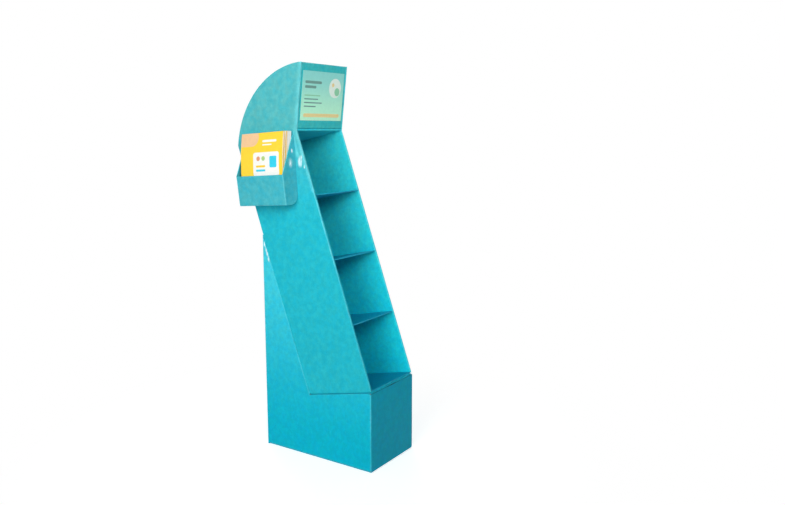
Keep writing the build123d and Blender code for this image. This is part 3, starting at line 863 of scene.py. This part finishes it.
class STAND_OT_shelves(bpy.types.Operator):
    """Finish the shelves and the ceiling of the top compartment"""
    bl_idname = "stand.shelves"
    bl_label = "Shelves"

    def execute(self, context):
        board = context.scene.stand_board
        fronts = [tray_point(0, WALL_FOOT + step * SHELF_PITCH)
                  for step in range(SHELF_COUNT + 1)]
        # The shelves' front edges pale: wear and painted highlight.
        folds = [(front, front + ACROSS * TRAY_HALF, 4, 0.3) for front in fronts]
        names = [f"shelf_{step + 1}" for step in range(SHELF_COUNT)] + ["ceiling"]
        dress(names, printed_board(
            # Shelves darker and the ceiling lighter, by height: painted shade and painted light.
            "shelf_print", board, board.shelf_colour, board.ceiling_colour,
            SHELF_RUN, folds, rise=(1.1, 1.25)))
        return {"FINISHED"}


class STAND_OT_hood(bpy.types.Operator):
    """Finish the hood with the header, and the raw edges of the head's sides"""
    bl_idname = "stand.hood"
    bl_label = "Hood"

    def execute(self, context):
        board = context.scene.stand_board
        # The hood's top fold pales: wear and painted highlight.
        folds = ((HEADER_TOP, HEADER_TOP + ACROSS * TRAY_HALF, 6, 0.6),)
        dress(["hood"], printed_board(
            "hood_print", board, board.hood_colour, board.hood_colour, ACROSS, folds))
        chord = BACK_CORNER - HEADER_TOP
        half = np.linalg.norm(chord) / 2
        inwards = np.array((0, chord[2], -chord[1])) / (2 * half)
        centre = HEADER_TOP + chord / 2 + inwards * sqrt(HEAD_RADIUS ** 2 - half ** 2)
        start, end = (np.arctan2(point[2] - centre[2], point[1] - centre[1])
                      for point in (HEADER_TOP, BACK_CORNER))
        trim = 2 * BOARD / HEAD_RADIUS
        angle = np.linspace(start - trim, end + trim, HEAD_POINTS)
        out = np.stack((np.zeros_like(angle), np.cos(angle), np.sin(angle)), 1)
        edges = [(centre + out * HEAD_RADIUS + shift, out, ACROSS)
                 for shift in both_sides(TRAY_HALF - BOARD / 2)]
        add_raw_edges(context, "head_edges", edges, BOARD)
        return {"FINISHED"}


class STAND_OT_header_card(bpy.types.Operator):
    """Print the header card: a soft change of colour with plain rounded shapes"""
    bl_idname = "stand.header_card"
    bl_label = "Header card"

    def execute(self, context):
        settings = context.scene.stand_print
        material, tree, shader, place = new_material("card_print")
        centre = HEADER_TOP - HEADER_RUN * (CARD_DROP + CARD_HEIGHT / 2)
        card = put(tree, "Mapping", {
            "Vector": place, "Location": tuple(centre), "Rotation": (HEADER_LEAN, 0, 0),
        }, vector_type="TEXTURE").outputs[0]
        height = put(tree, "SeparateXYZ", (card,)).outputs[2]
        ink = blend(tree, ramp(tree, height, -CARD_HEIGHT / 2, CARD_HEIGHT / 2),
                    settings.card_bottom, settings.card_top)
        pale, leaf, dark, warm = (
            (0.80, 0.95, 0.86), (0.28, 0.66, 0.42), (0.16, 0.34, 0.30), (0.86, 0.72, 0.34))
        ink = painted(tree, ink, card, 2, (
            (74, 34, 38, 38, 38, pale), (88, 20, 16, 16, 16, leaf), (60, 46, 8, 8, 8, warm),
            (-62, 52, 50, 5, 5, dark), (-78, 34, 34, 5, 5, dark), (-64, 2, 48, 2.2, 2.2, leaf),
            (-70, -12, 42, 2.2, 2.2, dark), (-58, -26, 54, 2.2, 2.2, dark),
            (-76, -40, 36, 2.2, 2.2, dark), (0, -74, 112, 7, 7, warm)))
        feed(tree, shader, {"Specular IOR Level": 0.2})
        finish_print(tree, shader, place, ink, context.scene.stand_board, patch=12 * MM,
                     unevenness=0.06, roughness=(0.36, 0.46), smoothing=3)
        dress(["header_card"], material)
        return {"FINISHED"}


class STAND_OT_pocket(bpy.types.Operator):
    """Finish the leaflet pocket and its raw edges"""
    bl_idname = "stand.pocket"
    bl_label = "Leaflet pocket"

    def execute(self, context):
        board = context.scene.stand_board
        whole = np.array((0, POCKET_WIDTH))
        top = np.array((POCKET_FRONT_HEIGHT, POCKET_TOP_DEPTH))
        low = pocket_point(whole, 0, POCKET_BOTTOM_DEPTH) * (-1, 1, 1)
        high = pocket_point(whole, *top) * (-1, 1, 1)
        # The pocket's folds pale: wear and painted highlight.
        folds = (
            (low[0], high[0], 5, 1.0), (low[1], high[1], 4, 0.9),
            (low[0], low[1], 4, 0.6))
        # White glints on the pocket's side: painted highlights.
        glints = ((pocket_point(0, 0.160, 0.030), 13, FRONT_SPOT),
                (pocket_point(0, 0.205, 0.018), 6, FRONT_SPOT))
        dress(["leaflet_pocket"], printed_board(
            "pocket_print", board, board.pocket_colour, board.pocket_colour,
            POCKET_RUN, folds, glints=glints))
        add_raw_edges(context, "pocket_edges", self.edges(top), POCKET_BOARD)
        return {"FINISHED"}

    def edges(self, top):
        """Line, outward direction and direction across of each raw edge: the front panel's,
        the two side panels' and the back panel's."""
        middle = POCKET_BOARD / 2
        rise = top - (0.0, POCKET_BOTTOM_DEPTH)
        rise /= np.linalg.norm(rise)
        front_rise = POCKET_RISE * rise[0] - ACROSS * rise[1]
        front_out = -ACROSS * rise[0] - POCKET_RISE * rise[1]
        inset = np.array((1, -1)) * POCKET_BOARD
        front_ends = np.array((0, POCKET_WIDTH)) + 2 * inset
        back_ends = np.array((CLEARANCE, POCKET_WIDTH - CLEARANCE)) + inset
        inner_top = np.array((POCKET_SIDE_HEIGHT, CLEARANCE + 2 * POCKET_BOARD))
        slope = (inner_top - top) / np.linalg.norm(inner_top - top)
        side_ends = np.stack((top + slope * POCKET_BOARD, inner_top - slope * middle), 1)
        side_out = -POCKET_RISE * slope[1] - ACROSS * slope[0]
        sides = [(pocket_point(along, *side_ends), side_out, POCKET_RUN)
                 for along in (middle, POCKET_WIDTH - middle)]
        return [
            (pocket_point(front_ends, *top) - front_out * middle, front_rise, front_out), *sides,
            (pocket_point(back_ends, POCKET_BACK_HEIGHT, CLEARANCE + middle), POCKET_RISE,
             -ACROSS)]


def leaflet_line(pile, offset, fan, lift):
    """Depth and height of a leaflet's middle line, its outward direction and its share of the
    way up.

    Its height grows evenly from foot to top. Its depth runs straight from the foot's to the
    top's, plus the bow times 4 times the share times 1 less the share, plus the leaflet's own
    offset, which grows by the fan on the way up.
    """
    share = (pile + 0.5) / BOOKLET_COUNT
    back = CLEARANCE + POCKET_BOARD + STACK_ROOM
    foot_back = CLEARANCE + POCKET_CORNER
    foot_front = POCKET_BOTTOM_DEPTH - POCKET_BOARD - STACK_ROOM
    foot = foot_back + share * (foot_front - foot_back)
    top = back + share * (STACK_TOP_DEPTH - back)
    bow = BOOKLET_BOW * share
    chord = BOOKLET_HEIGHT - ARC_LOSS * bow ** 2 / BOOKLET_HEIGHT
    rise = sqrt(chord ** 2 - (foot - top) ** 2)
    way = np.linspace(0, 1, LEAFLET_POINTS)
    depth = foot + (top - foot) * way + bow * 4 * way * (1 - way) + offset + fan * way
    height = POCKET_BOARD + CLEARANCE + lift + (rise - lift) * way
    slope = np.gradient(depth, height)
    size = np.sqrt(1 + slope ** 2)
    out = -ACROSS / size[:, None] - POCKET_RISE * (slope / size)[:, None]
    return depth, height, out, way


class STAND_OT_booklets(bpy.types.Operator):
    """Fold the leaflets that stand in the pocket, in small piles"""
    bl_idname = "stand.booklets"
    bl_label = "Booklets"

    def execute(self, context):
        settings = context.scene.stand_print
        board = context.scene.stand_board
        materials = [self.cover_print(settings, board), self.page_paper(settings, board)]
        dice = np.random.default_rng(SEED)
        thickness = BOOKLET_THICKNESS / settings.layers - LEAFLET_GAP
        for pile in range(BOOKLET_COUNT):
            shells = []
            for layer in range(settings.layers):
                place = layer - (settings.layers - 1) / 2
                lift = dice.uniform(0, 1.0) * MM
                slide = dice.uniform(0, 1.2) * MM
                depth, height, out, way = leaflet_line(
                    pile, place * (thickness + LEAFLET_GAP), place * LEAFLET_FAN, lift)
                start = POCKET_BOARD + BOOKLET_SIDE_ROOM + slide
                line = pocket_point(np.full_like(depth, start), height, depth)
                shells += self.leaflet(line, out, way, thickness, settings, dice,
                                       plain=pile < settings.plain_piles)
            piece = new_piece(f"leaflets_{pile + 1}", shells, materials)
            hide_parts(f"booklet_{pile + 1}")
        return {"FINISHED"}

    def leaflet(self, line, out, way, thickness, settings, dice, plain):
        """Shells of one leaflet.

        The cover's profile runs from the fore edge to the spine, round a half circle and
        back, with an inner side one sheet in, and is carried up the line. The pages are flat
        bars between. A plain leaflet has no print on its cover.
        """
        radius = thickness / 2
        small = radius - settings.sheet
        flat = BOOKLET_WIDTH - radius
        turn = np.linspace(pi / 2, -pi / 2, SPINE_POINTS)
        spine = np.stack((np.cos(turn), np.sin(turn)), 1)
        outer = np.concatenate(([(0, radius)], radius * spine + (flat, 0), [(0, -radius)]))
        inner = np.concatenate(([(0, -small)], small * spine[::-1] + (flat, 0), [(0, small)]))
        profile = np.concatenate((outer, inner))
        unrolled = np.where(profile[:, 1] >= 0, BOOKLET_WIDTH - profile[:, 0], -profile[:, 0])
        flat_map = np.stack(np.broadcast_arrays(
            unrolled[None] / BOOKLET_WIDTH, way[:, None]), -1).reshape(-1, 2)
        unprinted = np.repeat((float(plain), 1.0), (len(outer), len(inner)))
        shells = [{**carried_profile(line, POCKET_RUN, out, profile), "material": 0,
                   "flat_map": flat_map, "tint": np.tile(unprinted, len(line))}]
        levels, gap = np.linspace(-small, small, settings.pages + 2, retstep=True)
        for level in levels[1:-1]:
            fore = dice.uniform(-0.1, 0.7) * MM
            half = gap * PAGE_SHARE
            shell = carried_profile(line, POCKET_RUN, out,
                                    rectangle(fore, flat, level - half, level + half))
            count = len(shell["points"])
            shells.append({**shell, "material": 1, "flat_map": np.zeros((count, 2)),
                           "tint": np.full(count, dice.uniform(0, 1))})
        return shells

    def cover_print(self, settings, board):
        """Glossy cover: a yellow ground with plain fields of colour on its front."""
        material, tree, shader, place = new_material("cover_print")
        flat_map = put(tree, "UVMap", uv_map="flat_map").outputs[0]
        cover = vector(tree, "MULTIPLY", flat_map, (BOOKLET_WIDTH, BOOKLET_HEIGHT, 0))
        white, peach, blue, red, green = (
            (0.90, 0.90, 0.86), (0.86, 0.56, 0.30), (0.02, 0.60, 0.80), (0.72, 0.30, 0.14),
            (0.40, 0.62, 0.20))
        ink = painted(tree, settings.cover, cover, 1, (
            (30, 262, 62, 34, 34, peach), (148, 246, 36, 4.5, 4.5, white),
            (136, 232, 24, 2.5, 2.5, white), (132, 158, 66, 46, 10, white),
            (168, 166, 18, 22, 6, blue), (92, 180, 9, 9, 9, red), (118, 180, 9, 9, 9, green),
            (104, 150, 24, 4, 4, settings.cover), (104, 134, 24, 4, 4, blue)))
        inside = put(tree, "Attribute", attribute_name="tint").outputs["Fac"]
        finish_print(tree, shader, place, blend(tree, inside, ink, settings.page), board,
                     patch=9 * MM, unevenness=0.08, roughness=(0.28, 0.36), smoothing=4)
        return material

    def page_paper(self, settings, board):
        """Off-white paper, a little different from sheet to sheet."""
        material, tree, shader, place = new_material("page_paper")
        tint = put(tree, "Attribute", attribute_name="tint").outputs["Fac"]
        grain = use(tree, paper_grain, place=place, grain=board.grain)
        ground = blend(tree, tint, settings.page, np.multiply(settings.page, PAGE_CREAM))
        ground = blend(tree, product(tree, grain["Fibre"], 0.15), ground,
                       np.multiply(settings.page, FIBRE_TONE))
        feed(tree, shader, {"Base Color": ground,
                            "Roughness": number(tree, "MULTIPLY_ADD", tint, 0.1, 0.6)})
        add_relief(tree, shader, grain["Height"], board.relief / 2)
        return material


def aimed(place, forward):
    """Matrix of a camera or a lamp that stands at a place and looks along a direction."""
    return (Matrix.Translation(Vector(place))
            @ forward.to_track_quat("-Z", "Y").to_matrix().to_4x4())


class STAND_OT_stage(bpy.types.Operator):
    """Set the floor, the lights and the camera"""
    bl_idname = "stand.stage"
    bl_label = "Stage"

    def execute(self, context):
        settings = context.scene.stand_stage
        self.set_floor(settings)
        self.set_camera(context, settings)
        self.set_light(context, settings)
        context.scene.view_settings.view_transform = "Standard"
        return {"FINISHED"}

    def seen_directly(self, tree):
        """1 for rays from the camera and for reflections and glass, 0 for light on surfaces."""
        path = put(tree, "LightPath").outputs
        seen = number(tree, "MAXIMUM", path["Is Camera Ray"], path["Is Glossy Ray"])
        return number(tree, "MAXIMUM", seen, path["Is Transmission Ray"])

    def set_floor(self, settings):
        """Pale floor that turns to plain white away from the stand."""
        half = settings.floor_size / 2
        corners = [(-half, -half, 0), (half, -half, 0), (half, half, 0), (-half, half, 0)]
        mesh = bpy.data.meshes.new("floor")
        mesh.from_pydata(corners, [], [(0, 1, 2, 3)])
        floor = new_object("floor", mesh)
        material, tree, shader, place = new_material("floor_paint")
        away = ramp(tree, vector(tree, "LENGTH", place, output="Value"), *FLOOR_FADE)
        seen = self.seen_directly(tree)
        feed(tree, shader, {
            "Base Color": (*settings.floor_colour, 1.0), "Roughness": 0.6,
            "Specular IOR Level": 0.2, "Emission Color": WHITE,
            "Emission Strength": product(tree, seen, settings.floor_glow)})
        white = put(tree, "Emission", {"Color": WHITE, "Strength": 1.0})
        mixed = put(tree, "MixShader",
                    (product(tree, away, seen), shader.outputs[0], white.outputs[0]))
        feed(tree, tree.nodes["Material Output"], {"Surface": mixed.outputs[0]})
        mesh.materials.append(material)

    def set_camera(self, context, settings):
        """Camera at the photograph's viewing angle."""
        camera_data = bpy.data.cameras.new("camera")
        camera_data.lens = settings.lens
        camera_data.sensor_width = SENSOR_WIDTH
        camera = new_object("camera", camera_data)
        camera.matrix_world = aimed(
            settings.camera_place, Vector(settings.camera_forward).normalized())
        context.scene.camera = camera

    def set_light(self, context, settings):
        """Even light from all round, a large lamp on the left and weak ones before and behind."""
        world = bpy.data.worlds.new("studio")
        context.scene.world = world
        world.use_nodes = True
        tree = world.node_tree
        power = number(tree, "MULTIPLY_ADD", self.seen_directly(tree), 1 - settings.sky,
                       settings.sky)
        feed(tree, tree.nodes["Background"], {"Color": WHITE, "Strength": power})
        for name, setting, size, spread, place, target in LAMPS:
            lamp_data = bpy.data.lights.new(name, "AREA")
            lamp_data.energy = getattr(settings, setting)
            lamp_data.size = size
            lamp_data.spread = radians(spread)
            lamp = new_object(name, lamp_data)
            lamp.matrix_world = aimed(place, Vector(target) - Vector(place))


class STAND_PT_stand(bpy.types.Panel):
    """Steps and settings of the stand"""
    bl_idname = "STAND_PT_stand"
    bl_label = "Display stand"
    bl_space_type = "VIEW_3D"
    bl_region_type = "UI"
    bl_category = "Stand"

    def draw(self, context):
        layout = self.layout
        for operator in OPERATORS:
            layout.operator(operator.bl_idname)
        for name in SETTINGS:
            box = layout.box()
            group = getattr(context.scene, name)
            for setting in group.bl_rna.properties:
                if setting.identifier not in ("rna_type", "name"):
                    box.prop(group, setting.identifier)


OPERATORS = (
    STAND_OT_base,
    STAND_OT_supports,
    STAND_OT_tray,
    STAND_OT_shelves,
    STAND_OT_hood,
    STAND_OT_header_card,
    STAND_OT_pocket,
    STAND_OT_booklets,
    STAND_OT_stage,
)
SETTINGS = {
    "stand_board": STAND_PG_board,
    "stand_print": STAND_PG_print,
    "stand_stage": STAND_PG_stage,
}
CLASSES = (*SETTINGS.values(), *OPERATORS, STAND_PT_stand)


def register():
    """Register the classes and the settings."""
    for each in CLASSES:
        bpy.utils.register_class(each)
    for name, group in SETTINGS.items():
        setattr(bpy.types.Scene, name, PointerProperty(type=group))


def unregister():
    """Remove the settings and the classes."""
    for name in SETTINGS:
        delattr(bpy.types.Scene, name)
    for each in reversed(CLASSES):
        bpy.utils.unregister_class(each)


def main():
    """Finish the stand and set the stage."""
    register()
    bpy.ops.stand.base()
    bpy.ops.stand.supports()
    bpy.ops.stand.tray()
    bpy.ops.stand.shelves()
    bpy.ops.stand.hood()
    bpy.ops.stand.header_card()
    bpy.ops.stand.pocket()
    bpy.ops.stand.booklets()
    bpy.ops.stand.stage()


if __name__ == "__main__":
    main()
